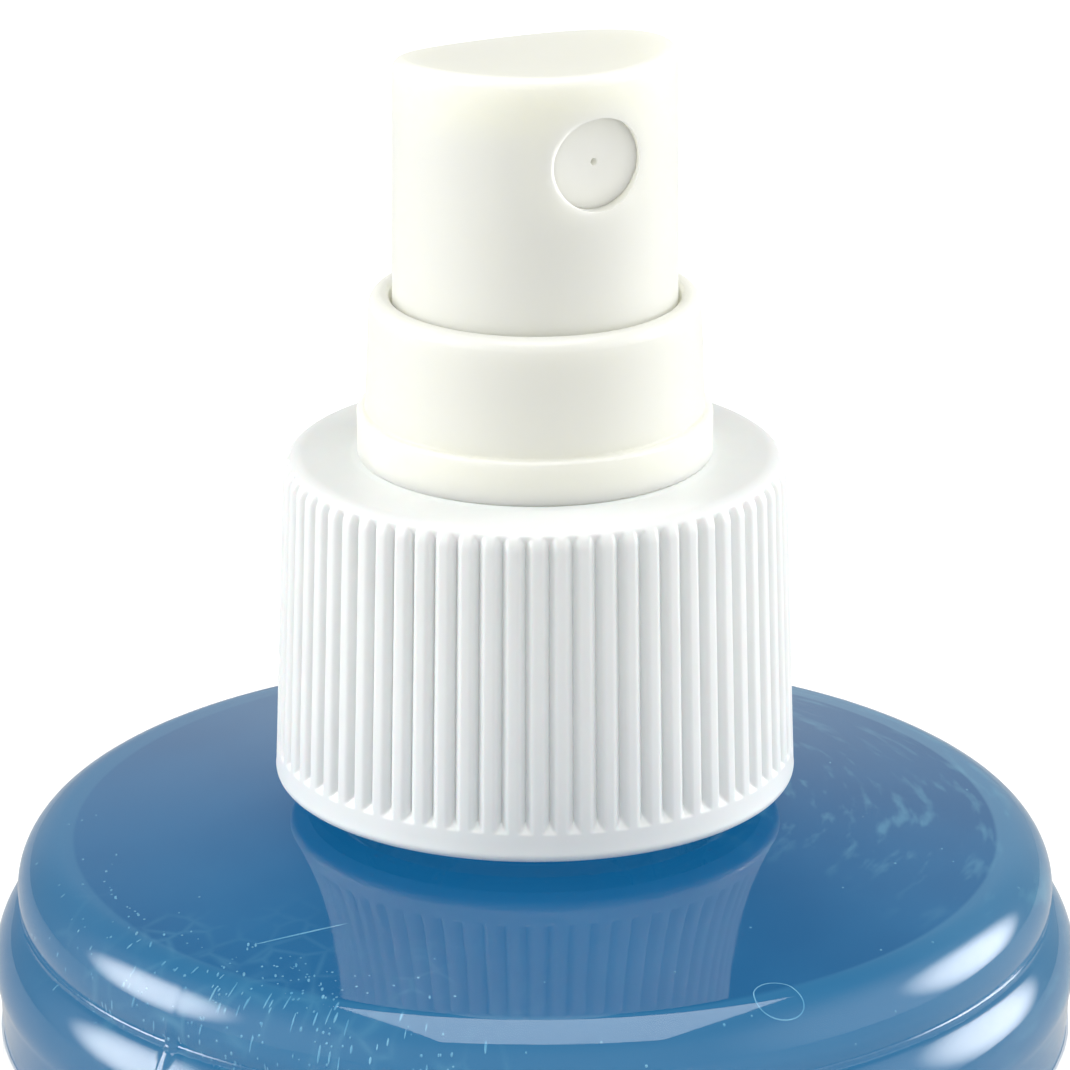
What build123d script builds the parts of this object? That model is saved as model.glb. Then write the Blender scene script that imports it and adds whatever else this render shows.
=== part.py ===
from build123d import *
import os

os.makedirs("parts", exist_ok=True)

# Fine-mist finger pump on a round two-bead bottle, 24-410 neck finish.
# Millimetres, +Z up, origin at the centre of the bottle's base, nozzle facing -Y.
# Heights named "..._z" are measured from the base the bottle stands on.

# ---------------------------------------------------------------- driving dimensions
# Bottle body
body_r = 29.04            # label panel
wall = 1.0                # blown wall
base_ring_r = 24.6        # middle of the ring that the bottle stands on
heel_r = 4.0              # heel rounding
push_up = 2.6             # rise of the base at its centre
closure_z = 108.0         # lower edge of the screwed-down closure
bead_r = 3.0              # rounding of the shoulder bead
bead_center = (25.1, closure_z - 6.25)
ring_r = 3.8              # rounding of the label-guard ring under it
ring_center = (25.6, closure_z - 10.35)
groove_blend = 0.42       # rounding of the groove between bead and ring
shoulder_z = closure_z - 0.95   # where the shoulder meets the neck

# Neck finish, 24-410
thread_pitch = 3.175
thread_turns = 1.5
thread_crest_r = 11.95
neck_r = 10.8
neck_bore_r = 9.0
lip_z = closure_z + 14.9

# Label and fluid
label_thickness = 0.2
label_bottom_z = 12.0
label_top_z = closure_z - 14.1
fluid_z = closure_z - 2.7
fluid_gap = 0.05

# Closure
closure_base_r = 14.0
closure_top_r = 13.4
closure_height = 18.1
closure_bore_r = 12.3
closure_panel = 1.3       # top panel
closure_hole_r = 7.45
closure_band = 1.65       # smooth band under the ribs
groove_count = 68
groove_depth = 0.45
groove_width = 0.8
closure_thread_r = 11.15  # crest of the inside thread

# Pump
bore_r = 3.75             # pump chamber
housing_wall = 0.9
cup_r = 7.25              # housing cup inside the closure's hole
cup_bore_r = 6.3
flange_r = 11.3           # housing flange over the bottle's lip
foot_r = 3.7              # housing around the foot of the spring
socket_wall_r = 2.95      # housing around the dip tube
stem_r = 2.25
stem_bore_r = 1.3
running_gap = 0.03        # piston lips and stem guide
valve_gap = 0.6           # the stem moves this far ahead of the piston
spring_wire = 0.6
spring_mean_r = 2.05
spring_turns = 7.5
ball_r = 1.25
tube_r = 2.0
tube_bore_r = 1.25
tube_end_z = 5.0
well_gap = 0.3            # between the pump and the fluid

# Collar
collar_foot_r = 9.47
collar_base_r = 9.03
collar_top_r = 8.78
collar_bore_r = 7.75

# Actuator
actuator_top_r = 7.43
actuator_base_r = 7.58
actuator_wall = 1.1
socket_r = 3.3            # outside of the stem socket
actuator_top_z = closure_z + 39.75   # middle of the finger rest
scoop_tilt = 6.6          # degrees, falling away from the nozzle
scoop_r = 55.0
rim_rounding = 0.55
nozzle_z = closure_z + 35.8
nozzle_r = 2.5
nozzle_recess = 0.7
post_r = 1.15             # centre post behind the orifice insert
pocket_depth = 3.2        # distance of the pocket's floor from the pump's axis
feed_r = 0.4

# ---------------------------------------------------------------- heights worked out
chamber_r = bore_r + housing_wall
closure_top_z = closure_z + closure_height
ceiling_z = closure_top_z - closure_panel
gasket_top_z = lip_z + 1.0
flange_top_z = ceiling_z - 0.05
cup_top_z = closure_top_z + 0.9
cup_floor_z = gasket_top_z + 0.4
bore_top_z = closure_z + 12.5
bore_bottom_z = closure_z - 2.5
spring_seat_z = closure_z - 9.2
inlet_z = closure_z - 12.55
socket_top_z = inlet_z - 1.05
socket_bottom_z = socket_top_z - 6.4
valve_z = closure_z + 4.3          # spring's upper end, under the valve flange
piston_bottom_z = valve_z + 1.37
piston_top_z = closure_z + 11.3
counterbore_z = closure_z + 9.0
stem_bottom_z = counterbore_z + valve_gap
stem_top_z = closure_z + 34.0
web_bottom_z = cup_top_z + 0.1
web_top_z = web_bottom_z + 0.95
guide_bottom_z = closure_z + 17.95
foot_bottom_z = closure_top_z + 0.05
foot_top_z = closure_z + 20.6
collar_top_z = closure_z + 26.95
skirt_z = closure_z + 25.45        # lower edge of the actuator at rest
inner_top_z = closure_z + 37.2     # ceiling of the actuator's hollow


def arc_point(center, radius, angle):
    """Point on a circle of the profile plane, angle in degrees."""
    return Vector(*center) + Vector(radius, 0).rotate(Axis.Z, angle)


def revolve_profile(points):
    """Closed straight-sided outline of radius and height, turned about the Z axis."""
    with BuildPart() as turned:
        with BuildSketch(Plane.XZ):
            with BuildLine():
                Polyline(*points, close=True)
            make_face()
        revolve(axis=Axis.Z)
    return turned.part


def thread_ridge(root_r, crest_r, root_width, crest_width, turns, start_z):
    """Right-handed helical ridge with a trapezoid section, sunk 0.2 into its wall."""
    inward = 1 if crest_r < root_r else -1
    base = root_r + 0.2 * inward
    with BuildPart() as ridge:
        with BuildLine(Plane.XY.offset(start_z)) as path:
            Helix(pitch=thread_pitch, height=thread_pitch * turns, radius=root_r)
        with BuildSketch(Plane(origin=(0, 0, start_z), x_dir=(1, 0, 0), z_dir=(0, -1, 0))):
            with BuildLine():
                Polyline(
                    (base, -root_width / 2),
                    (crest_r, -crest_width / 2),
                    (crest_r, crest_width / 2),
                    (base, root_width / 2),
                    close=True,
                )
            make_face()
        sweep(path=path.line, is_frenet=True)
    return ridge.part


# ---------------------------------------------------------------- bottle
bead_end = arc_point(bead_center, bead_r, -17)
ring_start = arc_point(ring_center, ring_r, 48)
inner_r = body_r - wall
floor_z = push_up + 1.3

# inside of the wall behind the ring, the groove and the bead, from below
ring_inner_z = ring_center[1] + 0.8
groove_inner = (26.4, bead_center[1] - 1.75)
bead_inner = (26.9, bead_center[1] - 0.6)
dome_inner = (25.9, bead_center[1] + 1.55)
neck_inner_z = shoulder_z - 1.35
inner_radii = [2.0, 1.0, heel_r - 1.0, 1.0, 2.0, 0.8, 0.8, 1.4]

thread_start_z = lip_z - 2.2 - thread_pitch * thread_turns
neck_thread = thread_ridge(neck_r, thread_crest_r, 2.2, 0.9, thread_turns, thread_start_z)

with BuildPart() as bottle:
    with BuildSketch(Plane.XZ):
        with BuildLine():
            ring = CenterArc(ring_center, ring_r, 48, -66)
            RadiusArc(bead_end, ring_start, -groove_blend)
            bead = CenterArc(bead_center, bead_r, -17, 95)
            Line(ring @ 1, (body_r, label_top_z))
            Line((body_r, label_top_z), (body_r, label_bottom_z))
            FilletPolyline(
                (body_r, label_bottom_z),
                (body_r, label_bottom_z - 0.8),
                (body_r + 0.16, label_bottom_z - 4.0),
                (body_r - 0.4, 0),
                (base_ring_r - 1.5, 0),
                (base_ring_r - 4.5, push_up - 0.9),
                (0, push_up),
                radius=[0.3, 3.0, heel_r, 1.0, 2.0],
            )
            Line((0, push_up), (0, floor_z))
            FilletPolyline(
                (0, floor_z),
                (base_ring_r - 4.5, floor_z - 1.1),
                (base_ring_r - 1.0, 1.2),
                (inner_r - 0.3, 1.2),
                (inner_r, label_bottom_z),
                (inner_r, ring_inner_z),
                groove_inner,
                bead_inner,
                dome_inner,
                (neck_bore_r, neck_inner_z),
                (neck_bore_r, lip_z),
                radius=inner_radii + [1.6],
            )
            Line((neck_bore_r, lip_z), (neck_r, lip_z))
            FilletPolyline(
                (neck_r, lip_z), (neck_r, shoulder_z), bead @ 1, radius=[0.8]
            )
        make_face()
    revolve(axis=Axis.Z)
    add(neck_thread)
bottle.part.label = "bottle"
export_step(bottle.part, "parts/bottle.step")

# ---------------------------------------------------------------- label
with BuildPart() as label:
    with BuildSketch(Plane.XY.offset(label_bottom_z)):
        Circle(body_r + label_thickness)
        Circle(body_r, mode=Mode.SUBTRACT)
    extrude(amount=label_top_z - label_bottom_z)
label.part.label = "label"
export_step(label.part, "parts/label.step")

# ---------------------------------------------------------------- fluid
# It fills the bottle up to the neck's root, with a well where the pump hangs in it.
under_slope = (neck_inner_z - dome_inner[1]) / (dome_inner[0] - neck_bore_r)
fluid_top_r = dome_inner[0] - (fluid_z + fluid_gap - dome_inner[1]) / under_slope
with BuildPart() as lens_fluid:
    with BuildSketch(Plane.XZ):
        with BuildLine():
            FilletPolyline(
                (0, floor_z + fluid_gap),
                (base_ring_r - 4.5, floor_z - 1.1 + fluid_gap),
                (base_ring_r - 1.0, 1.2 + fluid_gap),
                (inner_r - 0.3 - fluid_gap, 1.2 + fluid_gap),
                (inner_r - fluid_gap, label_bottom_z),
                (inner_r - fluid_gap, ring_inner_z - fluid_gap),
                (groove_inner[0] - fluid_gap, groove_inner[1] - fluid_gap),
                (bead_inner[0] - fluid_gap, bead_inner[1] - fluid_gap),
                (dome_inner[0] - fluid_gap, dome_inner[1] - fluid_gap),
                (fluid_top_r, fluid_z),
                radius=inner_radii,
            )
            Polyline(
                (fluid_top_r, fluid_z),
                (chamber_r + well_gap, fluid_z),
                (chamber_r + well_gap, closure_z - 3.4),
                (foot_r + well_gap, closure_z - 4.2),
                (foot_r + well_gap, closure_z - 10.4),
                (socket_wall_r + well_gap, closure_z - 11.4),
                (socket_wall_r + well_gap, socket_bottom_z - well_gap),
                (tube_r + well_gap, socket_bottom_z - well_gap),
                (tube_r + well_gap, tube_end_z - well_gap),
                (0, tube_end_z - well_gap),
                (0, floor_z + fluid_gap),
            )
        make_face()
    revolve(axis=Axis.Z)
lens_fluid.part.label = "lens_fluid"
export_step(lens_fluid.part, "parts/lens_fluid.step")

# ---------------------------------------------------------------- closure


def groove_section(height, depth):
    """V section of one grip groove, cut from just outside the skirt's wall."""
    rise = (height - closure_z) / closure_height
    wall_r = closure_base_r + (closure_top_r - closure_base_r) * rise
    half = groove_width / 2
    with BuildSketch(Plane.XY.offset(height)) as section:
        with BuildLine():
            Polyline(
                (wall_r - depth, 0),
                (wall_r + 0.15, -half),
                (wall_r + 0.15, half),
                close=True,
            )
        make_face()
    return section.sketch


groove_low_z = closure_z + closure_band
groove_high_z = closure_top_z - 0.7
with BuildPart() as grip_groove:
    sections = [
        groove_section(groove_low_z, 0.02),
        groove_section(groove_low_z + 0.6, groove_depth),
        groove_section(groove_high_z - 0.5, groove_depth),
        groove_section(groove_high_z, 0.02),
    ]
    loft(sections=[section.face() for section in sections], ruled=True)

inner_start_z = thread_start_z - thread_pitch / 2
closure_thread = thread_ridge(
    closure_bore_r, closure_thread_r, 1.4, 0.5, thread_turns, inner_start_z
)

with BuildPart() as closure:
    with BuildSketch(Plane.XZ):
        with BuildLine():
            FilletPolyline(
                (closure_bore_r + 0.5, closure_z),
                (closure_base_r, closure_z),
                (closure_top_r, closure_top_z),
                (closure_hole_r, closure_top_z),
                radius=[0.5, 0.7],
            )
            Polyline(
                (closure_hole_r, closure_top_z),
                (closure_hole_r, ceiling_z),
                (closure_bore_r, ceiling_z),
                (closure_bore_r, closure_z + 1.6),
                (closure_bore_r + 0.5, closure_z + 0.6),
                (closure_bore_r + 0.5, closure_z),
            )
        make_face()
    revolve(axis=Axis.Z)
    with PolarLocations(0, groove_count):
        add(grip_groove.part, mode=Mode.SUBTRACT)
    add(closure_thread)
closure.part.label = "closure"
export_step(closure.part, "parts/closure.step")

# ---------------------------------------------------------------- neck gasket
with BuildPart() as neck_gasket:
    with BuildSketch(Plane.XY.offset(lip_z)):
        Circle(flange_r + 0.1)
        Circle(6.15, mode=Mode.SUBTRACT)
    extrude(amount=gasket_top_z - lip_z)
neck_gasket.part.label = "neck_gasket"
export_step(neck_gasket.part, "parts/neck_gasket.step")

# ---------------------------------------------------------------- pump housing
housing_body = revolve_profile([
    (cup_r, cup_top_z),
    (cup_r, flange_top_z),
    (flange_r, flange_top_z),
    (flange_r, gasket_top_z),
    (6.0, gasket_top_z),
    (6.0, bore_top_z + 1.2),
    (chamber_r, bore_top_z - 0.2),
    (chamber_r, bore_bottom_z - 0.6),
    (foot_r, bore_bottom_z - 1.4),
    (foot_r, closure_z - 10.2),
    (socket_wall_r, closure_z - 11.2),
    (socket_wall_r, socket_bottom_z),
    (tube_r + 0.15, socket_bottom_z),
    (tube_r, socket_bottom_z + 0.3),
    (tube_r, socket_top_z),
    (0.8, socket_top_z),
    (0.8, inlet_z),
    (1.75, inlet_z + 0.95),
    (1.75, spring_seat_z),
    (2.7, spring_seat_z),
    (2.7, bore_bottom_z - 0.4),
    (bore_r, bore_bottom_z + 0.4),
    (bore_r, bore_top_z),
    (5.0, bore_top_z + 0.9),
    (5.0, cup_floor_z),
    (cup_bore_r, cup_floor_z),
    (cup_bore_r, cup_top_z),
])

with BuildPart() as pump_housing:
    add(housing_body)
    # three nibs that keep the ball below the spring
    with BuildSketch(Plane.XY.offset(spring_seat_z - 0.25)):
        with PolarLocations(1.45, 3):
            Rectangle(0.8, 0.8)
    extrude(amount=0.25)
    # air vent, covered by the piston's lips at rest
    with BuildSketch(Plane.XZ.offset(-chamber_r - 0.5)):
        with Locations((0, closure_z + 8.5)):
            Circle(0.35)
    extrude(amount=2.0, mode=Mode.SUBTRACT)
pump_housing.part.label = "pump_housing"
export_step(pump_housing.part, "parts/pump_housing.step")

# ---------------------------------------------------------------- dip tube
with BuildPart() as dip_tube:
    with BuildSketch(Plane.XY.offset(tube_end_z)):
        Circle(tube_r)
        Circle(tube_bore_r, mode=Mode.SUBTRACT)
    extrude(amount=socket_top_z - 0.2 - tube_end_z)
    # the lower end is cut on the slant, so that it can't seal against the base
    split(bisect_by=Plane(origin=(0, 0, tube_end_z + tube_r), z_dir=(1, 0, 1)))
dip_tube.part.label = "dip_tube"
export_step(dip_tube.part, "parts/dip_tube.step")

# ---------------------------------------------------------------- inlet ball
seat_gap = 0.03
ball_z = inlet_z - 0.8 + ball_r * 2**0.5 + seat_gap
with BuildPart() as inlet_ball:
    with Locations((0, 0, ball_z)):
        Sphere(ball_r)
inlet_ball.part.label = "inlet_ball"
export_step(inlet_ball.part, "parts/inlet_ball.step")

# ---------------------------------------------------------------- return spring
wire_r = spring_wire / 2
spring_length = valve_z - spring_seat_z - spring_wire - 0.04
with BuildPart() as return_spring:
    with BuildLine(Plane.XY.offset(spring_seat_z + wire_r + 0.02)) as coil:
        Helix(pitch=spring_length / spring_turns, height=spring_length, radius=spring_mean_r)
    with BuildSketch(Plane(origin=coil.line @ 0, z_dir=coil.line % 0)):
        Circle(wire_r)
    sweep(path=coil.line, is_frenet=True)
return_spring.part.label = "return_spring"
export_step(return_spring.part, "parts/return_spring.step")

# ---------------------------------------------------------------- piston seat
# Lower stem: spring guide, valve cone and a fluted pin pressed into the stem.
cone_top_z = valve_z + 2.2
seat_body = revolve_profile([
    (0, valve_z - 4.0),
    (0.9, valve_z - 4.0),
    (1.35, valve_z - 3.4),
    (1.35, valve_z),
    (2.5, valve_z),
    (2.5, valve_z + 1.0),
    (stem_bore_r, cone_top_z),
    (stem_bore_r, closure_z + 15.6),
    (0.9, closure_z + 16.0),
    (0, closure_z + 16.0),
])

with BuildPart() as piston_seat:
    add(seat_body)
    with BuildSketch(Plane.XY.offset(cone_top_z + 0.2)):
        with Locations((1.45, 0), (-1.45, 0)):
            Rectangle(1.0, 3.0)
    extrude(amount=10.0, mode=Mode.SUBTRACT)
piston_seat.part.label = "piston_seat"
export_step(piston_seat.part, "parts/piston_seat.step")

# ---------------------------------------------------------------- piston
lip_r = bore_r - running_gap
cone_sum = valve_z + 3.5 + 0.07       # radius plus height along the piston's valve cone
piston_body = revolve_profile([
    (1.4, cone_sum - 1.4),
    (cone_sum - piston_bottom_z, piston_bottom_z),
    (lip_r, piston_bottom_z),
    (lip_r, piston_bottom_z + 0.7),
    (2.8, piston_bottom_z + 1.5),
    (2.8, piston_top_z - 1.6),
    (lip_r, piston_top_z - 0.8),
    (lip_r, piston_top_z),
    (2.4, piston_top_z),
    (2.4, counterbore_z),
    (1.4, counterbore_z),
])

with BuildPart() as piston:
    add(piston_body)
piston.part.label = "piston"
export_step(piston.part, "parts/piston.step")

# ---------------------------------------------------------------- stem
stem_body = revolve_profile([
    (stem_bore_r, stem_bottom_z),
    (stem_r, stem_bottom_z),
    (stem_r, guide_bottom_z - 1.3),
    (2.85, guide_bottom_z - 1.05),
    (2.85, guide_bottom_z - 0.05),
    (stem_r, guide_bottom_z - 0.05),
    (stem_r, stem_top_z - 0.3),
    (stem_r - 0.3, stem_top_z),
    (stem_bore_r, stem_top_z),
])

with BuildPart() as stem:
    add(stem_body)
stem.part.label = "stem"
export_step(stem.part, "parts/stem.step")

# ---------------------------------------------------------------- collar
# The visible turret: it snaps into the housing through the closure, guides the stem
# and stops the piston.
with BuildPart() as collar:
    with BuildSketch(Plane.XZ):
        with BuildLine():
            FilletPolyline(
                (cup_r + 0.05, foot_bottom_z),
                (collar_foot_r, foot_bottom_z),
                (collar_foot_r, foot_top_z),
                (collar_base_r, foot_top_z),
                (collar_top_r, collar_top_z),
                (collar_bore_r, collar_top_z),
                (collar_bore_r, web_top_z),
                radius=[0.15, 0.2, 0.15, 0.65, 0.2],
            )
            Polyline(
                (collar_bore_r, web_top_z),
                (stem_r + running_gap, web_top_z),
                (stem_r + running_gap, guide_bottom_z),
                (2.95, guide_bottom_z),
                (2.95, piston_top_z + 0.05),
                (bore_r - 0.1, piston_top_z + 0.05),
                (bore_r - 0.1, web_bottom_z),
                (5.4, web_bottom_z),
                (5.4, cup_floor_z + 0.1),
                (6.0, cup_floor_z + 0.1),
                (cup_bore_r - 0.05, cup_floor_z + 0.4),
                (cup_bore_r - 0.05, web_bottom_z),
                (cup_r + 0.05, web_bottom_z),
                (cup_r + 0.05, foot_bottom_z),
            )
        make_face()
    revolve(axis=Axis.Z)
collar.part.label = "collar"
export_step(collar.part, "parts/collar.step")

# ---------------------------------------------------------------- actuator
insert_face = actuator_top_r - nozzle_recess
spray_rise = Vector(0, -1, 0).rotate(Axis.X, -scoop_tilt)
scoop_plane = Plane(origin=(0, 0, actuator_top_z), x_dir=(1, 0, 0), z_dir=spray_rise)
blank_top_z = closure_z + 43.0

actuator_blank = revolve_profile([
    (0, skirt_z),
    (actuator_base_r, skirt_z),
    (actuator_top_r, blank_top_z),
    (0, blank_top_z),
])

with BuildPart() as actuator:
    add(actuator_blank)
    # finger rest: a shallow trough along the spray direction, tilted back
    with BuildSketch(scoop_plane):
        with Locations((0, scoop_r)):
            Circle(scoop_r)
    extrude(amount=20, both=True, mode=Mode.SUBTRACT)
    fillet(actuator.faces().sort_by(Axis.Z)[-1].edges(), radius=rim_rounding)
    # hollow skirt around the stem socket
    with BuildSketch(Plane.XY.offset(skirt_z)):
        Circle(actuator_base_r - actuator_wall)
        Circle(socket_r, mode=Mode.SUBTRACT)
    extrude(amount=inner_top_z - skirt_z, mode=Mode.SUBTRACT)
    # the socket is shorter than the skirt
    with BuildSketch(Plane.XY.offset(skirt_z)):
        Circle(socket_r + 0.1)
    extrude(amount=0.6, mode=Mode.SUBTRACT)
    # ribs between skirt and socket
    with BuildSketch(Plane.XY.offset(skirt_z + 4.0)):
        with PolarLocations(4.9, 4, start_angle=45):
            Rectangle(3.6, 0.8)
    extrude(amount=inner_top_z - skirt_z - 3.9)
    # solid boss behind the nozzle
    with BuildSketch(Plane.XZ.offset(2.0)):
        with Locations((0, nozzle_z)):
            Circle(3.6)
    extrude(amount=4.4)
    # bore for the stem, and the chamber over it
    with BuildSketch(Plane.XY.offset(skirt_z)):
        Circle(stem_r)
    extrude(amount=stem_top_z - skirt_z, mode=Mode.SUBTRACT)
    with BuildSketch(Plane.XY.offset(stem_top_z)):
        Circle(stem_bore_r)
    extrude(amount=nozzle_z - stem_top_z, mode=Mode.SUBTRACT)
    # nozzle pocket with its centre post, and the feed under the post
    with BuildSketch(Plane.XZ.offset(pocket_depth)):
        with Locations((0, nozzle_z)):
            Circle(nozzle_r)
    extrude(amount=6.0, mode=Mode.SUBTRACT)
    with BuildSketch(Plane.XZ.offset(pocket_depth - 0.5)):
        with Locations((0, nozzle_z)):
            Circle(post_r)
    extrude(amount=3.2)
    with BuildSketch(Plane.XZ):
        with Locations((0, nozzle_z - post_r)):
            Circle(feed_r)
    extrude(amount=pocket_depth + 0.4, mode=Mode.SUBTRACT)
actuator.part.label = "actuator"
export_step(actuator.part, "parts/actuator.step")

# ---------------------------------------------------------------- orifice insert
insert_length = insert_face - pocket_depth
with BuildPart() as orifice_insert:
    with BuildSketch(Plane.XZ.offset(pocket_depth)):
        with Locations((0, nozzle_z)):
            Circle(nozzle_r)
    extrude(amount=insert_length)
    with BuildSketch(Plane.XZ.offset(pocket_depth)):
        with Locations((0, nozzle_z)):
            Circle(post_r + 0.35)
    extrude(amount=insert_length - 0.6, mode=Mode.SUBTRACT)
    with BuildSketch(Plane.XZ.offset(pocket_depth)):
        with Locations((0, nozzle_z)):
            Circle(0.2)
    extrude(amount=insert_length, mode=Mode.SUBTRACT)
orifice_insert.part.label = "orifice_insert"
export_step(orifice_insert.part, "parts/orifice_insert.step")
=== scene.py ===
import math
import random

import bmesh
import bpy
from mathutils import Matrix, Vector


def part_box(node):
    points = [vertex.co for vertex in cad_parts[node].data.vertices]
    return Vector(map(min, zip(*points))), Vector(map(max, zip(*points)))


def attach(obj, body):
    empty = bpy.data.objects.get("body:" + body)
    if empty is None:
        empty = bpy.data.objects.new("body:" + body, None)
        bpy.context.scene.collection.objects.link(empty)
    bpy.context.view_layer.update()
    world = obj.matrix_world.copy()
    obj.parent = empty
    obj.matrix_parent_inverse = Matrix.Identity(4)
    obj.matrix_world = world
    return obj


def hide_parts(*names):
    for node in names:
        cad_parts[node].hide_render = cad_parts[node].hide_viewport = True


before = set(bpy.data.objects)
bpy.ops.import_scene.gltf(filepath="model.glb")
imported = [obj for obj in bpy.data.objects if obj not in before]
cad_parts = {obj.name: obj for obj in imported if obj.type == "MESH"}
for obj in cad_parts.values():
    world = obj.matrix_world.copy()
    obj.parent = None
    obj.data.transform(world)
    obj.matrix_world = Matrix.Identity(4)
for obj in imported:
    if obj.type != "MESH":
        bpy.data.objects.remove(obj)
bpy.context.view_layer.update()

MM = 0.001
random.seed(24410)


# ------------------------------------------------------------------ sizes, millimetres
def low_mm(node):
    """Lowest corner of a node's box."""
    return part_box(node)[0] / MM


def high_mm(node):
    """Highest corner of a node's box."""
    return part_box(node)[1] / MM


CLOSURE_Z = low_mm("closure").z          # lower edge of the closure
CLOSURE_TOP_Z = high_mm("closure").z
LIP_Z = high_mm("bottle").z              # top of the bottle's neck
LABEL_LOW_Z = low_mm("label").z
LABEL_HIGH_Z = high_mm("label").z
LABEL_R = high_mm("label").x             # outside of the label

PANEL_R = LABEL_R - 0.2                  # bottle under the label
WALL = 1.0                               # bottle wall
BEAD_R = 3.0                             # rounding of the shoulder bead
BEAD = (25.1, CLOSURE_Z - 6.25)          # centre of that rounding
RING_R = 3.8                             # rounding of the label-guard ring
RING = (25.6, CLOSURE_Z - 10.35)
GROOVE_BLEND = 0.42                      # rounding of the groove between them
SHOULDER_Z = CLOSURE_Z - 0.95
NECK_R = 10.8
NECK_BORE_R = 9.0
THREAD_R = 11.95
THREAD_PITCH = 3.175
THREAD_TURNS = 1.5
THREAD_LOW_Z = LIP_Z - 2.2 - THREAD_PITCH * THREAD_TURNS
THREAD_START = 90                        # azimuth where the thread starts, degrees
BASE_R = 24.6                            # middle of the ring that the bottle stands on
PUSH_UP = 2.6                            # rise of the base's middle
SEAM_WIDTH = 0.7                         # half width of the parting line, degrees
FLUID_IN_WALL = 0.06                     # how far the liquid's face reaches into the wall
FLUID_EDGE_R = 12.0                      # where the liquid's face starts, under the neck
LABEL_LIFT = 0.12                        # rise of the label where it overlaps itself

CLOSURE_BASE_R = 14.0
CLOSURE_TOP_R = 13.4
CLOSURE_BORE_R = 12.3
CLOSURE_HOLE_R = 7.45
CLOSURE_PANEL = 1.3
EDGE_ROUND = 1.1                         # rounding of the closure's top edge
RIB_COUNT = 68
RIB_PHASE = -28.9                        # azimuth of one valley between ribs, degrees
RIB_DEPTH = 0.42
RIB_LOW_Z = CLOSURE_Z + 1.65             # the ribs start above a smooth band
RIB_RUN_OUT = 0.58                       # height over which a valley reaches its depth
FOOT_R = 9.52                            # where the closure's top meets the collar's foot
FOOT_RISE = 0.07
CLOSURE_THREAD_DEPTH = 1.1

NOZZLE_AZIMUTH = 26.8                    # degrees, nozzle to the right of the camera's line
CAMERA_DISTANCE = 350.0
CAMERA_ELEVATION = 19.37
CAMERA_LENS = 220.2
AIM_Z = CLOSURE_Z + 13.32
SEAM_AZIMUTH = -NOZZLE_AZIMUTH - 42.0    # mould parting line, left of the camera's line


# ------------------------------------------------------------------ camera
def outward(azimuth, elevation=0.0):
    """Unit vector away from the bottle's axis. Azimuth 0 is -Y, where the nozzle points."""
    a = math.radians(azimuth)
    e = math.radians(elevation)
    return Vector((math.sin(a) * math.cos(e), -math.cos(a) * math.cos(e), math.sin(e)))


def make_camera():
    """Camera that looks a little down at the pump, with the nozzle to its right."""
    data = bpy.data.cameras.new("camera")
    data.lens = CAMERA_LENS
    camera = bpy.data.objects.new("camera", data)
    bpy.context.collection.objects.link(camera)
    away = outward(-NOZZLE_AZIMUTH, CAMERA_ELEVATION)
    camera.location = (Vector((0, 0, AIM_Z)) + away * CAMERA_DISTANCE) * MM
    camera.rotation_mode = "QUATERNION"
    camera.rotation_quaternion = (-away).to_track_quat("-Z", "Y")
    bpy.context.scene.camera = camera


make_camera()


# ------------------------------------------------------------------ mesh helpers
def arc(center, radius, start, end, steps=14):
    """Points along an arc of the outline, angles in degrees."""
    points = []
    for i in range(steps + 1):
        a = math.radians(start + (end - start) * i / steps)
        points.append((center[0] + radius * math.cos(a), center[1] + radius * math.sin(a)))
    return points


def arc_between(start, end, radius, steps=6):
    """Points between two points, on an arc that bulges towards the axis."""
    start = Vector(start)
    end = Vector(end)
    chord = end - start
    outside = Vector((abs(chord.y), 0)).normalized()
    middle = (start + end) / 2
    center = middle + outside * math.sqrt(radius ** 2 - (chord.length / 2) ** 2)
    points = []
    for i in range(1, steps):
        away = start.lerp(end, i / steps) - center
        points.append(tuple(center + away.normalized() * radius))
    return points


def rounded(corners, steps=6):
    """Outline through (radius, height, rounding) corners, the roundings as tangent arcs."""
    points = []
    last = len(corners) - 1
    for i, (r, z, rounding) in enumerate(corners):
        if rounding == 0 or i in (0, last):
            points.append((r, z))
            continue
        here = Vector((r, z))
        back = (Vector(corners[i - 1][:2]) - here).normalized()
        ahead = (Vector(corners[i + 1][:2]) - here).normalized()
        half = back.angle(ahead) / 2
        middle = here + (back + ahead).normalized() * (rounding / math.sin(half))
        first = here + back * (rounding / math.tan(half)) - middle
        final = here + ahead * (rounding / math.tan(half)) - middle
        turn = first.angle_signed(final)
        for k in range(steps + 1):
            a = -turn * k / steps
            points.append((
                middle.x + first.x * math.cos(a) - first.y * math.sin(a),
                middle.y + first.x * math.sin(a) + first.y * math.cos(a),
            ))
    return points


def spaced(start, end, step):
    """Values from start to end, evenly spaced by about step, both ends included."""
    count = max(1, round(abs(end - start) / step))
    return [start + (end - start) * i / count for i in range(count + 1)]


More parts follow.
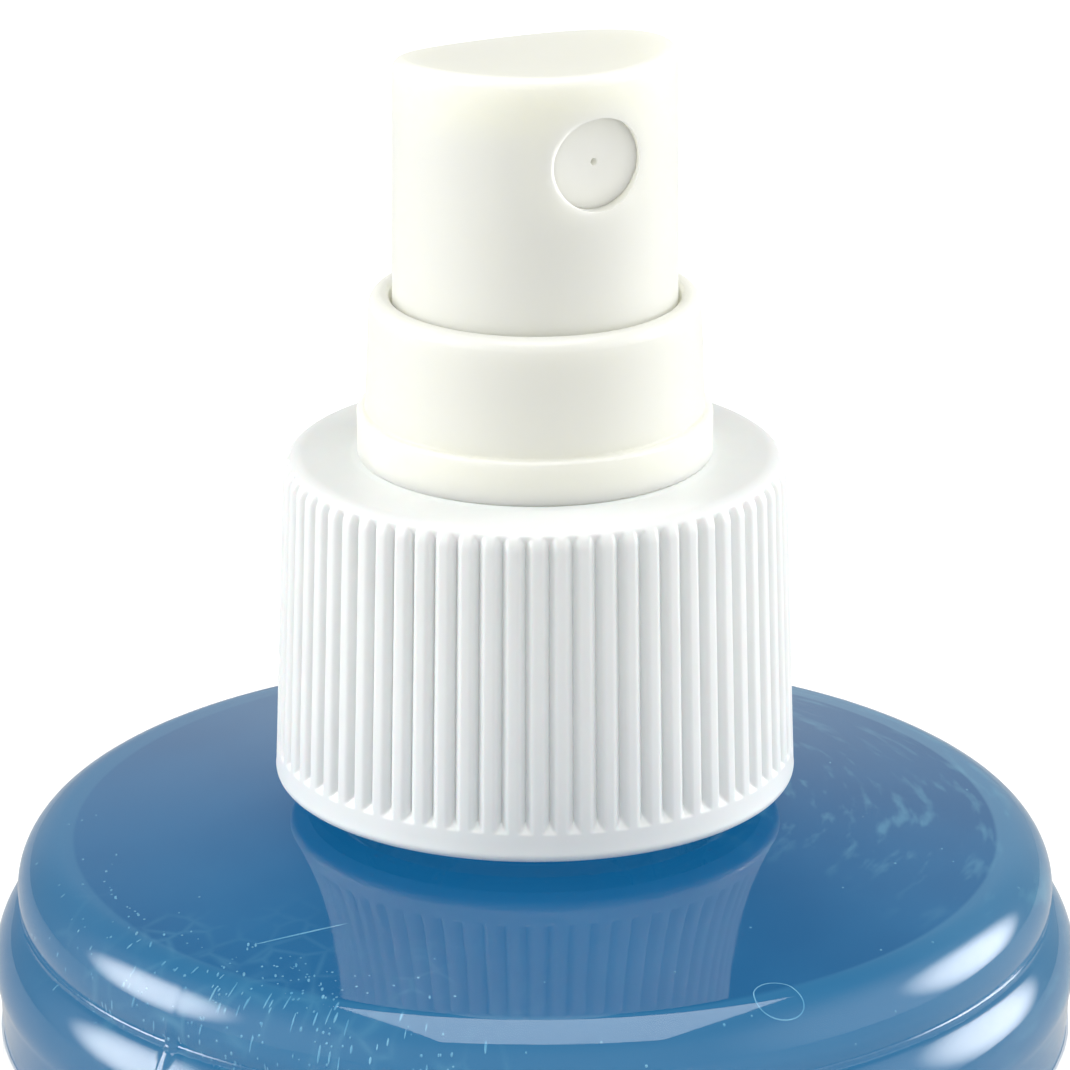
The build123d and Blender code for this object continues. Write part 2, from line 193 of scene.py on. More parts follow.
def lathe(name, outline, angles, shift=None, closed=True, sharp=35.0):
    """Mesh turned about Z from an outline of (radius, height) in mm, at angles in degrees.

    shift(r, z, angle) gives the place of a point that isn't on the plain turned surface.
    """
    rows = len(outline)
    verts = []
    for angle in angles:
        away = outward(angle)
        for r, z in outline:
            if shift:
                r, z = shift(r, z, angle)
            verts.append((away.x * r * MM, away.y * r * MM, z * MM))
    faces = []
    for i in range(len(angles)):
        j = (i + 1) % len(angles)
        for k in range(rows if closed else rows - 1):
            m = (k + 1) % rows
            faces.append((i * rows + k, j * rows + k, j * rows + m, i * rows + m))
    mesh = bpy.data.meshes.new(name)
    mesh.from_pydata(verts, [], faces)
    return finish_mesh(name, mesh, sharp)


def finish_mesh(name, mesh, sharp=35.0):
    """Welds doubled points, turns faces outward, shades smooth and links the object."""
    bm = bmesh.new()
    bm.from_mesh(mesh)
    bmesh.ops.remove_doubles(bm, verts=bm.verts, dist=1e-7)
    bmesh.ops.dissolve_degenerate(bm, edges=bm.edges, dist=1e-8)
    bmesh.ops.recalc_face_normals(bm, faces=bm.faces)
    bm.to_mesh(mesh)
    bm.free()
    mesh.shade_smooth()
    mesh.set_sharp_from_angle(angle=math.radians(sharp))
    piece = bpy.data.objects.new(name, mesh)
    bpy.context.collection.objects.link(piece)
    return piece


# ------------------------------------------------------------------ material helpers
class Surface:
    """A node material with one Principled shader, and short ways to add to it."""

    def __init__(self, name, color, roughness, **sockets):
        self.mat = bpy.data.materials.new(name)
        self.mat.use_nodes = True
        self.nodes = self.mat.node_tree.nodes
        self.links = self.mat.node_tree.links
        self.shader = self.nodes["Principled BSDF"]
        self.shader.inputs["Base Color"].default_value = (*color, 1)
        self.shader.inputs["Roughness"].default_value = roughness
        for key, value in sockets.items():
            self.shader.inputs[key.replace("_", " ")].default_value = value

    def node(self, kind, **settings):
        made = self.nodes.new(kind)
        for key, value in settings.items():
            setattr(made, key, value)
        return made

    def join(self, output, target):
        self.links.new(output, target)

    def place(self):
        """The point's place in the object, in metres."""
        return self.node("ShaderNodeTexCoord").outputs["Object"]

    def noise(self, scale, detail=2.0, stretch=(1, 1, 1)):
        mapping = self.node("ShaderNodeMapping")
        mapping.inputs["Scale"].default_value = stretch
        self.join(self.place(), mapping.inputs["Vector"])
        noise = self.node("ShaderNodeTexNoise")
        noise.inputs["Scale"].default_value = scale
        noise.inputs["Detail"].default_value = detail
        self.join(mapping.outputs["Vector"], noise.inputs["Vector"])
        return noise.outputs["Fac"]

    def spread(self, value, low, high, from_low=0.35, from_high=0.65):
        """Maps a value to the range low..high."""
        ranged = self.node("ShaderNodeMapRange")
        ranged.inputs["From Min"].default_value = from_low
        ranged.inputs["From Max"].default_value = from_high
        ranged.inputs["To Min"].default_value = low
        ranged.inputs["To Max"].default_value = high
        self.join(value, ranged.inputs["Value"])
        return ranged.outputs["Result"]

    def blend(self, factor, first, second):
        """Mixes two colours, each a colour or a socket."""
        mix = self.node("ShaderNodeMix", data_type="RGBA")
        self.join(factor, mix.inputs["Factor"])
        for slot, color in ((6, first), (7, second)):
            if isinstance(color, tuple):
                mix.inputs[slot].default_value = (*color, 1)
            else:
                self.join(color, mix.inputs[slot])
        return mix.outputs[2]

    def color(self, socket):
        self.join(socket, self.shader.inputs["Base Color"])

    def roughness(self, socket):
        self.join(socket, self.shader.inputs["Roughness"])

    def math(self, operation, first, second=0.0):
        """One sum of sockets or numbers."""
        made = self.node("ShaderNodeMath", operation=operation)
        for i, value in enumerate((first, second)):
            if isinstance(value, (int, float)):
                made.inputs[i].default_value = value
            else:
                self.join(value, made.inputs[i])
        return made.outputs["Value"]

    def around(self):
        """Azimuth in degrees from the nozzle's side, radius and height in mm."""
        parts = self.node("ShaderNodeSeparateXYZ")
        self.join(self.place(), parts.inputs["Vector"])
        x = parts.outputs["X"]
        y = parts.outputs["Y"]
        azimuth = self.math("ARCTAN2", x, self.math("MULTIPLY", y, -1.0))
        squares = self.math("ADD", self.math("MULTIPLY", x, x), self.math("MULTIPLY", y, y))
        return (
            self.math("MULTIPLY", azimuth, 180 / math.pi),
            self.math("MULTIPLY", self.math("SQRT", squares), 1 / MM),
            self.math("MULTIPLY", parts.outputs["Z"], 1 / MM),
        )

    def window(self, value, start, end, fade):
        """1 between start and end, 0 outside, with soft edges."""
        up = self.spread(value, 0, 1, start - fade, start + fade)
        down = self.spread(value, 1, 0, end - fade, end + fade)
        return self.math("MULTIPLY", up, down)

    def combined(self, x, y, z):
        made = self.node("ShaderNodeCombineXYZ")
        for i, value in enumerate((x, y, z)):
            self.join(value, made.inputs[i])
        return made.outputs["Vector"]

    def bump(self, height, distance, strength=1.0):
        """Bump of the given depth in mm."""
        made = self.node("ShaderNodeBump")
        made.inputs["Distance"].default_value = distance * MM
        made.inputs["Strength"].default_value = strength
        self.join(height, made.inputs["Height"])
        self.join(made.outputs["Normal"], self.shader.inputs["Normal"])


def natural_plastic(name, glow):
    """Unpigmented moulded polypropylene: milky, warm white, lets some light through."""
    s = Surface(
        name, (0.80, 0.80, 0.69), 0.30,
        Subsurface_Weight=0.9, Subsurface_Scale=0.003, IOR=1.49,
    )
    # painted glow: a faint emission, set by glow, stands in for light that passes through the
    # plastic
    s.shader.inputs["Emission Color"].default_value = (1.0, 0.99, 0.93, 1)
    s.shader.inputs["Emission Strength"].default_value = glow
    s.shader.inputs["Subsurface Radius"].default_value = (1.0, 0.97, 0.85)
    clouds = s.spread(s.noise(110, 2), 0, 1, 0.1, 0.9)
    s.color(s.blend(clouds, (0.786, 0.786, 0.694), (0.80, 0.80, 0.712)))
    s.roughness(s.spread(s.noise(240, 3), 0.30, 0.34, 0.1, 0.9))
    return s.mat


def white_closure():
    """Opaque white polypropylene with a fine satin mould finish."""
    s = Surface(
        "white_polypropylene", (0.745, 0.765, 0.76), 0.36,
        Subsurface_Weight=0.12, Subsurface_Scale=0.0012, IOR=1.49,
    )
    clouds = s.spread(s.noise(150, 3), 0, 1)
    s.color(s.blend(clouds, (0.745, 0.765, 0.755), (0.765, 0.785, 0.775)))
    s.roughness(s.spread(s.noise(700, 3), 0.31, 0.41))
    s.bump(s.noise(1500, 2), 0.004)
    return s.mat


def clear_plastic():
    """Clear blown bottle plastic with a slightly wavy surface."""
    s = Surface("clear_plastic", (1.0, 1.0, 1.0), 0.04, Transmission_Weight=1.0, IOR=1.57)
    s.roughness(s.spread(s.noise(160, 3), 0.03, 0.06))
    s.bump(s.noise(70, 2), 0.03)
    return s.mat


def blue_fluid():
    """The liquid against the bottle's wall. Its blue is mostly painted glow: an emission that
    stands in for light carried in the liquid, and keeps it blue in the closure's shade.
    """
    s = Surface("blue_fluid", (0.003, 0.024, 0.045), 0.5, Specular_IOR_Level=0.05)
    azimuth, radius, height = s.around()
    clouds = s.spread(s.noise(55, 3, (1, 1, 2)), 0, 1)
    body = s.blend(clouds, (0.002, 0.020, 0.040), (0.004, 0.030, 0.052))
    deep = s.blend(clouds, (0.002, 0.094, 0.252), (0.006, 0.112, 0.285))
    # painted light: outside the shoulder's flat the liquid is seen from the side, where the
    # side soft boxes light the bead, so its glow is made paler there, and paler again towards
    # the right, where that light is stronger
    side = s.spread(radius, 0, 1, 24.75, 24.95)
    right = s.spread(azimuth, 0, 1, 10, 70)
    rim = s.blend(right, (0.026, 0.152, 0.320), (0.066, 0.210, 0.375))
    glow = s.blend(side, deep, rim)

    # painted light: whitish caustic streaks that run round the shoulder, right and behind
    around = s.combined(
        s.math("MULTIPLY", azimuth, 0.11), s.math("MULTIPLY", radius, 1.1),
        s.math("MULTIPLY", height, 1.1),
    )
    streaks = s.node("ShaderNodeTexNoise")
    streaks.inputs["Scale"].default_value = 1.0
    streaks.inputs["Detail"].default_value = 5.0
    s.join(around, streaks.inputs["Vector"])
    painted_caustics = s.spread(streaks.outputs["Fac"], 0, 0.42, 0.54, 0.70)
    painted_caustics = s.math("MULTIPLY", painted_caustics, s.window(azimuth, 38, 150, 12))

    # film of fine foam behind the bead, left of the front
    cells = s.node("ShaderNodeTexVoronoi", feature="DISTANCE_TO_EDGE")
    cells.inputs["Scale"].default_value = 520
    s.join(s.place(), cells.inputs["Vector"])
    film = s.spread(cells.outputs["Distance"], 0.3, 0, 0.0, 0.12)
    film = s.math("MULTIPLY", film, s.window(azimuth, -92, -30, 14))
    film = s.math("MULTIPLY", film, s.window(height, CLOSURE_Z - 9, CLOSURE_Z - 4.2, 1.0))
    film = s.math("MULTIPLY", film, s.spread(s.noise(240, 2), 0, 1, 0.45, 0.6))

    # real foam film together with the painted caustic streaks; both also go into the painted
    # glow
    foam_and_caustics = s.math("MINIMUM", s.math("ADD", painted_caustics, film), 0.8)
    s.color(s.blend(foam_and_caustics, body, (0.06, 0.17, 0.22)))
    # painted glow: this emission colour, not any lamp, gives the liquid most of its brightness
    s.join(s.blend(foam_and_caustics, glow, (0.07, 0.21, 0.32)), s.shader.inputs["Emission Color"])
    s.shader.inputs["Emission Strength"].default_value = 1.0
    return s.mat


def trapped_air():
    """Small air bubbles against the wall."""
    s = Surface("trapped_air", (0.08, 0.24, 0.36), 0.4, Specular_IOR_Level=0.15)
    s.color(s.blend(s.spread(s.noise(900, 2), 0, 1), (0.05, 0.19, 0.31), (0.13, 0.30, 0.40)))
    # painted glow: the bubbles' emission stands in for the light in the liquid around them
    s.shader.inputs["Emission Color"].default_value = (0.05, 0.17, 0.28, 1)
    s.shader.inputs["Emission Strength"].default_value = 0.7
    return s.mat


def label_film():
    """White film label: satin, with a faint grain and a plain blue band low down."""
    s = Surface("label_film", (0.80, 0.81, 0.82), 0.38)
    paper = s.blend(s.spread(s.noise(900, 3), 0, 1), (0.79, 0.80, 0.81), (0.82, 0.83, 0.84))
    height = s.around()[2]
    band = s.window(height, LABEL_LOW_Z + 5, LABEL_LOW_Z + 17, 0.03)
    line = s.window(height, LABEL_LOW_Z + 18.4, LABEL_LOW_Z + 19.2, 0.03)
    s.color(s.blend(s.math("MAXIMUM", band, line), paper, (0.035, 0.16, 0.36)))
    s.bump(s.noise(2500, 2), 0.01)
    return s.mat


def metal(name, color, roughness):
    """Hidden metal parts: plain metal with slightly uneven gloss."""
    s = Surface(name, color, roughness, Metallic=1.0)
    s.roughness(s.spread(s.noise(1500, 2), roughness - 0.05, roughness + 0.08))
    return s.mat


def plain_plastic(name, color, roughness, grain):
    """Hidden seals and tubes: a moulded or foamed surface with fine grain."""
    s = Surface(name, color, roughness)
    s.bump(s.noise(grain, 3), 0.02)
    return s.mat


# ------------------------------------------------------------------ bottle
def outer_shoulder():
    """Outline from the label panel's upper end over ring and bead to the neck's root."""
    ring = arc(RING, RING_R, -18, 48, 18)
    bead = arc(BEAD, BEAD_R, -17, 78, 26)
    return ring + arc_between(ring[-1], bead[0], GROOVE_BLEND) + bead


def inner_wall(grow=0.0):
    """Outline of the bottle's inner face from the shoulder's edge down to the base."""
    inner_r = PANEL_R - WALL + grow
    floor_z = PUSH_UP + 1.3 - grow
    return [
        (25.9 + grow, BEAD[1] + 1.55 + grow, 1.4),
        (27.1 + grow, BEAD[1] - 0.5, 0.8),
        (26.6 + grow, BEAD[1] - 1.5, 0.5),
        (28.5 + grow, RING[1] + 1.1, 1.6),
        (28.4 + grow, RING[1] - 1.4, 1.0),
        (inner_r, RING[1] - 3.2, 1.0),
        (inner_r, LABEL_LOW_Z, 1.0),
        (inner_r - 0.3, 1.2 - grow, 3.0),
        (BASE_R - 1.0, 1.2 - grow, 1.0),
        (BASE_R - 4.5, floor_z - 1.1, 2.0),
        (0, floor_z, 0),
    ]


def column_angles(seams, step=1.5):
    """Angles all round, with extra columns beside each parting line."""
    angles = set()
    for a in spaced(0, 360, step)[:-1]:
        angles.add(round(a, 4))
    for seam in seams:
        for offset in (-0.8, -0.6, -0.45, -0.3, -0.15, 0, 0.15, 0.3, 0.45, 0.6, 0.8):
            angles.add(round((seam + offset) % 360, 4))
    return sorted(angles)


def make_bottle():
    """Clear bottle with its parting lines and the neck's thread, as one thin shell."""
    seams = [SEAM_AZIMUTH % 360, (SEAM_AZIMUTH + 180) % 360]
    thread_rows = spaced(THREAD_LOW_Z - 2.0, LIP_Z - 0.6, 0.2)
    outer = rounded([
        (0, PUSH_UP, 0),
        (BASE_R - 4.5, PUSH_UP - 0.9, 2.0),
        (BASE_R - 1.5, 0, 1.0),
        (PANEL_R - 0.4, 0, 4.0),
        (PANEL_R + 0.16, LABEL_LOW_Z - 4.0, 3.0),
        (PANEL_R, LABEL_LOW_Z - 0.8, 0.3),
        (PANEL_R, LABEL_LOW_Z, 0),
        (PANEL_R, LABEL_HIGH_Z, 0),
    ], 8)
    outer += outer_shoulder()
    outer += rounded([
        outer[-1] + (0,),
        (NECK_R, SHOULDER_Z, 0.8),
        (NECK_R, thread_rows[0], 0),
    ])[1:]
    outer += [(NECK_R, z) for z in thread_rows[1:]]
    inner = rounded([
        (NECK_R, LIP_Z, 0.3),
        (NECK_BORE_R, LIP_Z, 0),
        (NECK_BORE_R, SHOULDER_Z - 1.35, 1.6),
    ] + inner_wall(), 6)
    inner_points = set(inner)

    def shift(r, z, angle):
        if abs(r - NECK_R) < 0.01 and z > THREAD_LOW_Z - 2:
            return r + thread_height(z, angle), z
        gap = min(abs((angle - seam + 180) % 360 - 180) for seam in seams)
        outside = (r, z) not in inner_points
        if gap < SEAM_WIDTH and r > NECK_R + 1 and z > LABEL_HIGH_Z and outside:
            return r + seam_height(z) * min(1.0, (SEAM_WIDTH - gap) / 0.3), z
        return r, z

    shell = lathe("bottle_shell", outer + inner, column_angles(seams), shift)
    shell.data.materials.append(clear_plastic())
    shell.visible_shadow = False
    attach(shell, "bottle")
    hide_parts("bottle")


def seam_height(z):
    """How far the parting line stands out: a fine ridge that bridges the groove."""
    groove_z = (BEAD[1] + RING[1]) / 2 + 1.0
    return 0.012 + 0.33 * math.exp(-((z - groove_z) / 0.75) ** 2)


def thread_height(z, angle):
    """How far the neck's thread stands out at this height and angle."""
    turn = -(angle - THREAD_START) % 360 / 360
    best = 9.0
    along = 0.0
    for n in range(int(THREAD_TURNS) + 1):
        if turn + n <= THREAD_TURNS:
            gap = abs(z - THREAD_LOW_Z - THREAD_PITCH * (turn + n))
            if gap < best:
                best = gap
                along = turn + n
    ends = min(1.0, along * 12, (THREAD_TURNS - along) * 12)
    slope = max(0.0, min(1.0, (1.1 - best) / 0.65))
    return (THREAD_R - NECK_R) * slope * max(0.0, ends)


# ------------------------------------------------------------------ fluid
def make_fluid():
    """The liquid as the eye meets it, just under the inner face of the wall."""
    level_z = CLOSURE_Z - 2.65
    dip_gap_r = 2.3                      # room left for the dip tube, and for the pump's steps
    socket_gap_r = 3.3
    bore_gap_r = 4.1
    cup_gap_r = 5.0
    body = rounded([
        (0, 4.7, 0),
        (dip_gap_r, 4.7, 0),
        (dip_gap_r, CLOSURE_Z - 20.4, 0),
        (socket_gap_r, CLOSURE_Z - 20.4, 0),
        (socket_gap_r, CLOSURE_Z - 11.6, 0),
        (bore_gap_r, CLOSURE_Z - 10.6, 0),
        (bore_gap_r, CLOSURE_Z - 4.4, 0),
        (cup_gap_r, CLOSURE_Z - 3.6, 0),
        (cup_gap_r, level_z - 0.3, 0),
        (FLUID_EDGE_R, level_z + 0.05, 0.5),
    ] + inner_wall(FLUID_IN_WALL), 6)
    fluid = lathe("fluid_body", body, spaced(0, 360, 2.5)[:-1], closed=False)
    fluid.data.materials.append(blue_fluid())
    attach(fluid, "bottle")
    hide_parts("lens_fluid")


def place_on_wall(outline, along, azimuth):
    """A point of the liquid's face, and the directions out of it and outward or down along it.

    along is in mm from the outline's start; azimuth is measured from the camera's line.
    """
    for low, high in zip(outline, outline[1:]):
        run = Vector(high) - Vector(low)
        if along <= run.length:
            break
        along -= run.length
    tangent = run.normalized()
    point = Vector(low) + tangent * along
    away = outward(azimuth - NOZZLE_AZIMUTH)
    up = Vector((0, 0, 1))
    return (
        away * point.x + up * point.y,
        away * -tangent.y + up * tangent.x,
        away * tangent.x + up * tangent.y,
    )


def add_bubble(bm, outline, along, azimuth, length, width, turn):
    """Flat ellipsoid on the liquid's face, its length along the outline or turned from it."""
    point, out, down = place_on_wall(outline, along, azimuth)
    down = Matrix.Rotation(math.radians(turn), 3, out) @ down
    axes = Matrix((out.cross(down) * width, down * length, out * 0.08)).transposed()
    made = bmesh.ops.create_icosphere(bm, subdivisions=2, radius=0.5 * MM)
    place = Matrix.Translation((point + out * 0.05) * MM) @ axes.to_4x4()
    bmesh.ops.transform(bm, matrix=place, verts=made["verts"])


def add_bubble_ring(bm, outline, along, azimuth, radius, thick):
    """Edge of a wide bubble that lies against the wall: a thin ring."""
    point, out, down = place_on_wall(outline, along, azimuth)
    side = out.cross(down)
    around = 28
    across = 6
    rows = []
    for i in range(around):
        a = 2 * math.pi * i / around
        middle = side * math.cos(a) + down * math.sin(a)
        row = []
        for k in range(across):
            b = 2 * math.pi * k / across
            spot = middle * (radius + thick * math.cos(b)) + out * (0.05 + thick * math.sin(b))
            row.append(bm.verts.new((point + spot) * MM))
        rows.append(row)
    for i in range(around):
        row = rows[i]
        after = rows[(i + 1) % around]
        for k in range(across):
            m = (k + 1) % across
            bm.faces.new((row[k], after[k], after[m], row[m]))


def make_bubbles():
    """Small bubbles that cling to the wall under the shoulder and behind its bead."""
    outline = rounded([(FLUID_EDGE_R, CLOSURE_Z - 2.6, 0)] + inner_wall(FLUID_IN_WALL)[:6], 6)
    corner = 13.4                        # distance along the outline to the shoulder's edge
    bm = bmesh.new()
    # count, middle azimuth, its spread, nearest and furthest distance, greatest length
    clusters = (
        (60, -30, 8, corner - 3.5, corner, 0.45),
        (110, -30, 10, corner, corner + 4.5, 0.9),
        (60, -50, 12, corner - 0.5, corner + 5.5, 0.5),
        (36, -14, 9, corner + 0.5, corner + 4.0, 0.6),
        (50, -60, 14, corner - 3.0, corner + 4.0, 0.3),
        (26, 20, 60, corner - 8.0, corner + 4.0, 0.25),
        (14, -64, 7, corner - 1.3, corner - 1.1, 0.35),
    )
    for count, middle, spread, nearest, furthest, longest in clusters:
        for _ in range(count):
            azimuth = random.gauss(middle, spread)
            along = random.uniform(nearest, furthest)
            width = random.uniform(0.07, 0.15)
            length = max(width, longest * random.random() ** 2)
            # the long ones rise, so on the flat they point at the camera's side
            flat = 1.0 if along < corner else 0.0
            add_bubble(bm, outline, along, azimuth, length, width, -azimuth * flat)
    # a long thread of air, and the rim of one wider bubble
    add_bubble(bm, outline, corner - 5.2, -37, 5.2, 0.14, -36)
    add_bubble_ring(bm, outline, corner + 0.2, 29, 1.25, 0.03)
    mesh = bpy.data.meshes.new("bubbles")
    bm.to_mesh(mesh)
    bm.free()
    bubbles = finish_mesh("bubbles", mesh)
    bubbles.data.materials.append(trapped_air())
    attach(bubbles, "bottle")


# ------------------------------------------------------------------ label
def make_label():
    """Wrap label with its overlap at the back."""
    overlap = 5.0                        # degrees
    seam = 180.0 - NOZZLE_AZIMUTH
    angles = spaced(seam, seam + 360 + overlap, 1.5)

    def lift(angle):
        """Rise over the first degree of the overlap."""
        return max(0.0, min(1.0, angle - seam - 360 + 1.0)) * LABEL_LIFT

    verts = []
    for angle in angles:
        away = outward(angle)
        inside = PANEL_R + 0.02 + lift(angle)
        outside = PANEL_R + 0.15 + lift(angle)
        for r, z in (
            (inside, LABEL_LOW_Z),
            (outside, LABEL_LOW_Z),
            (outside, LABEL_HIGH_Z),
            (inside, LABEL_HIGH_Z),
        ):
            verts.append((away.x * r * MM, away.y * r * MM, z * MM))
    faces = []
    last = len(angles) - 1
    for i in range(last):
        for k in range(4):
            m = (k + 1) % 4
            faces.append((i * 4 + k, i * 4 + 4 + k, i * 4 + 4 + m, i * 4 + m))
    faces.append((0, 1, 2, 3))
    faces.append((last * 4 + 3, last * 4 + 2, last * 4 + 1, last * 4))
    mesh = bpy.data.meshes.new("wrap_label")
    mesh.from_pydata(verts, [], faces)
    label = finish_mesh("wrap_label", mesh)
    label.data.materials.append(label_film())
    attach(label, "bottle")
    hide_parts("label")


# ------------------------------------------------------------------ closure
def skirt_r(z):
    """Outside radius of the closure's tapered skirt."""
    rise = (z - CLOSURE_Z) / (CLOSURE_TOP_Z - CLOSURE_Z)
    return CLOSURE_BASE_R + (CLOSURE_TOP_R - CLOSURE_BASE_R) * rise


def valley(angle):
    """1 in the middle of a valley between ribs, 0 over the rounded back of a rib."""
    turn = (angle - RIB_PHASE) / 360 * RIB_COUNT
    gap = abs((turn + 0.5) % 1 - 0.5)
    return max(0.0, 1 - gap / 0.33) ** 1.6


def make_closure():
    """Screw closure: rounded grip ribs that fade into the top edge, on a smooth band."""
    edge_z = CLOSURE_TOP_Z - EDGE_ROUND
    edge = (skirt_r(edge_z) - EDGE_ROUND, edge_z)
    lower = (CLOSURE_BASE_R - 0.5, CLOSURE_Z + 0.5)
    thread_low_z = THREAD_LOW_Z - THREAD_PITCH / 2
    ceiling_z = CLOSURE_TOP_Z - CLOSURE_PANEL

    # from the hole out to the top edge, with a low step under the collar's foot
    outline = [(CLOSURE_HOLE_R, CLOSURE_TOP_Z + FOOT_RISE), (FOOT_R, CLOSURE_TOP_Z + FOOT_RISE)]
    outline += [(9.62, CLOSURE_TOP_Z + 0.02), (9.85, CLOSURE_TOP_Z), (10.5, CLOSURE_TOP_Z)]
    outline += arc(edge, EDGE_ROUND, 90, -2, 18)
    outline += [(skirt_r(z), z) for z in spaced(edge_z - 0.6, RIB_LOW_Z + 0.75, 1.4)]
    outline += [(skirt_r(z), z) for z in spaced(RIB_LOW_Z + 0.66, RIB_LOW_Z - 0.02, 0.075)]
    outline += [(skirt_r(z), z) for z in spaced(RIB_LOW_Z - 0.1, CLOSURE_Z + 0.6, 0.5)]
    outline += arc(lower, 0.5, 0, -90, 6)
    outline += [(CLOSURE_BORE_R + 0.5, CLOSURE_Z), (CLOSURE_BORE_R + 0.5, CLOSURE_Z + 0.6)]
    outline += [(CLOSURE_BORE_R, z) for z in spaced(CLOSURE_Z + 1.6, ceiling_z, 0.4)]
    outline += [(CLOSURE_HOLE_R, ceiling_z)]

    def shift(r, z, angle):
        if r < edge[0]:
            return r, z
        if abs(r - CLOSURE_BORE_R) < 0.001:
            turn = (-(angle - THREAD_START) % 360) / 360
            gaps = [abs(z - thread_low_z - THREAD_PITCH * (turn + n)) for n in range(2)]
            if turn + gaps.index(min(gaps)) > THREAD_TURNS:
                return r, z
            return r - CLOSURE_THREAD_DEPTH * max(0.0, min(1.0, (0.8 - min(gaps)) / 0.4)), z
        depth = valley(angle)
        fade = max(0.0, (CLOSURE_TOP_Z - 0.3 - z) / 0.5)
        run_out = min(fade, max(0.0, (z - RIB_LOW_Z) / RIB_RUN_OUT))
        return r - RIB_DEPTH * min(depth, run_out), z

    step = 360 / RIB_COUNT
    near = (0.04, 0.09, 0.15, 0.22, 0.3, 0.38)
    shares = [-0.5] + [-share for share in reversed(near)] + [0] + list(near)
    angles = [RIB_PHASE + step * (k + share) for k in range(RIB_COUNT) for share in shares]
    cap = lathe("closure_cap", outline, angles, shift, sharp=50)
    cap.data.materials.append(white_closure())
    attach(cap, "closure")
    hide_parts("closure")


make_bottle()
make_fluid()
make_bubbles()
make_label()
make_closure()


# ------------------------------------------------------------------ carried-over CAD nodes
def dress(material, *names):
    """Gives a material to CAD nodes that stay as they are."""
    for name in names:
        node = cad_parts[name]
        for slot in node.material_slots:
            slot.material = material


# the second number is a painted glow: emission in place of light through the plastic, stronger
# on the orifice insert
natural = natural_plastic("natural_polypropylene", 0.02)
dress(natural, "actuator", "collar", "stem", "pump_housing", "piston_seat")
dress(natural_plastic("natural_insert", 0.12), "orifice_insert")
dress(plain_plastic("foam_seal", (0.85, 0.85, 0.83), 0.6, 900), "neck_gasket", "piston")
dress(plain_plastic("tube_plastic", (0.80, 0.84, 0.86), 0.3, 400), "dip_tube")
dress(metal("spring_steel", (0.62, 0.62, 0.63), 0.28), "return_spring")
dress(metal("ball_steel", (0.75, 0.75, 0.76), 0.12), "inlet_ball")


# ------------------------------------------------------------------ studio
def soft_box(name, azimuth, elevation, size, distance, radiance, gloss, shift=0.0):
    """Soft box aimed at the pump. It lights either the gloss of things or their own colour.

    size, distance and shift are in metres; shift moves it to the right of the camera's line.
    """
    width, length = size
    pump_z = 0.11
    data = bpy.data.lights.new(name, "AREA")
    data.shape = "RECTANGLE"
    data.size = width
    data.size_y = length
    data.energy = radiance * math.pi * width * length
    light = bpy.data.objects.new(name, data)
    bpy.context.collection.objects.link(light)
    light.visible_diffuse = not gloss
    light.visible_glossy = gloss
    away = outward(azimuth - NOZZLE_AZIMUTH, elevation)
    side = outward(90 - NOZZLE_AZIMUTH)
    light.location = away * distance + side * shift + Vector((0, 0, pump_z))
    light.rotation_mode = "QUATERNION"
    light.rotation_quaternion = (-away).to_track_quat("-Z", "Y")


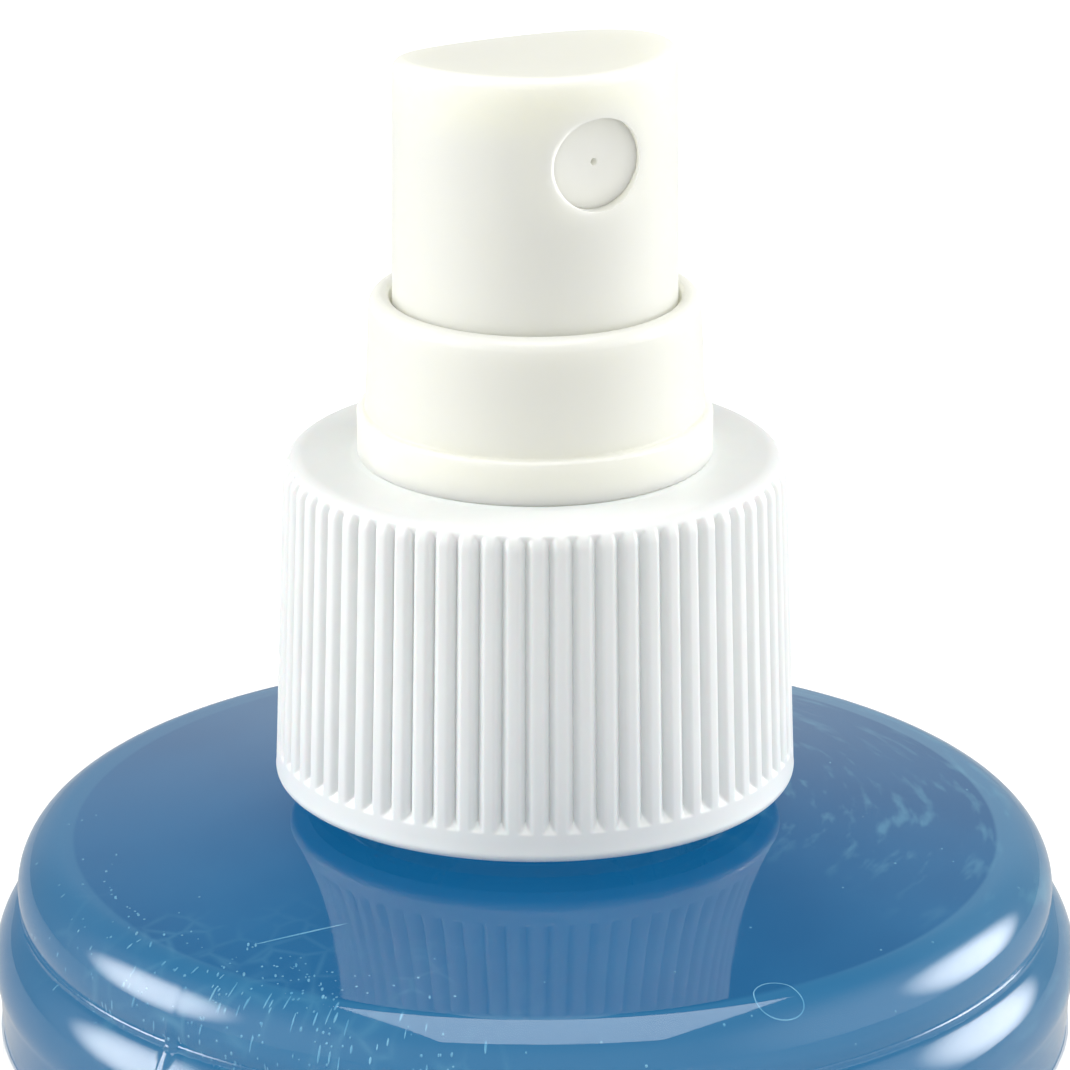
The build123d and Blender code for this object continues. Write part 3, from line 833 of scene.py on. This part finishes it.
def make_world():
    """Studio tent: paler in front than behind, with a soft box glowing on either side.

    The camera, and what it sees through clear plastic, gets a plain white background.
    """
    world = bpy.data.worlds.new("studio")
    bpy.context.scene.world = world
    world.use_nodes = True
    nodes = world.node_tree.nodes
    links = world.node_tree.links
    coords = nodes.new("ShaderNodeTexCoord")

    def toward(azimuth, elevation, start, end, low, high):
        """Light that goes from low to high between start and end degrees off a direction."""
        dot = nodes.new("ShaderNodeVectorMath")
        dot.operation = "DOT_PRODUCT"
        dot.inputs[1].default_value = outward(azimuth - NOZZLE_AZIMUTH, elevation)
        links.new(coords.outputs["Generated"], dot.inputs[0])
        ranged = nodes.new("ShaderNodeMapRange")
        ranged.interpolation_type = "SMOOTHSTEP"
        ranged.inputs["From Min"].default_value = math.cos(math.radians(start))
        ranged.inputs["From Max"].default_value = math.cos(math.radians(end))
        ranged.inputs["To Min"].default_value = low
        ranged.inputs["To Max"].default_value = high
        links.new(dot.outputs["Value"], ranged.inputs["Value"])
        return ranged.outputs["Result"]

    lights = (
        toward(0, 0, 150, 20, 0.27, 0.60),
        toward(0, 90, 60, 30, 0.0, -0.26),
        toward(180, 4, 40, 10, 0.0, 0.22),
        toward(-92, 19, 24, 0, 0.0, 8.8),
        toward(-80, 16, 52, 10, 0.0, 0.58),
        toward(111, 16, 23, 0, 0.0, 8.6),
        toward(88, 14, 50, 10, 0.0, 0.95),
    )
    total = lights[0]
    for light in lights[1:]:
        add = nodes.new("ShaderNodeMath")
        add.operation = "ADD"
        links.new(total, add.inputs[0])
        links.new(light, add.inputs[1])
        total = add.outputs["Value"]

    path = nodes.new("ShaderNodeLightPath")
    direct = nodes.new("ShaderNodeMath")
    direct.operation = "MAXIMUM"
    links.new(path.outputs["Is Camera Ray"], direct.inputs[0])
    links.new(path.outputs["Is Transmission Ray"], direct.inputs[1])
    pick = nodes.new("ShaderNodeMix")
    pick.data_type = "RGBA"
    pick.inputs[7].default_value = (1, 1, 1, 1)
    links.new(direct.outputs["Value"], pick.inputs["Factor"])
    links.new(total, pick.inputs[6])
    links.new(pick.outputs[2], nodes["Background"].inputs["Color"])


def make_floor():
    """White table that looks white all over but still takes a soft shadow."""
    bpy.ops.mesh.primitive_plane_add(size=6.0)
    floor = bpy.context.object
    floor.name = "floor"
    s = Surface("floor_white", (0.6, 0.6, 0.6), 0.7)
    path = s.node("ShaderNodeLightPath")
    glow = s.math("MULTIPLY", path.outputs["Is Camera Ray"], 0.55)
    s.join(glow, s.shader.inputs["Emission Strength"])
    s.shader.inputs["Emission Color"].default_value = (1, 1, 1, 1)
    floor.data.materials.append(s.mat)


make_world()
make_floor()
OVERHEAD_SIZE = (0.61, 0.85)             # metres
soft_box("overhead_gloss", 0, 84, OVERHEAD_SIZE, 0.8, 3.4, True, 0.05)
soft_box("overhead_fill", 20, 80, OVERHEAD_SIZE, 0.8, 1.7, False)
soft_box("front_fill", 20, 10, (0.8, 0.6), 1.0, 1.15, False)

bpy.context.scene.view_settings.view_transform = "Standard"
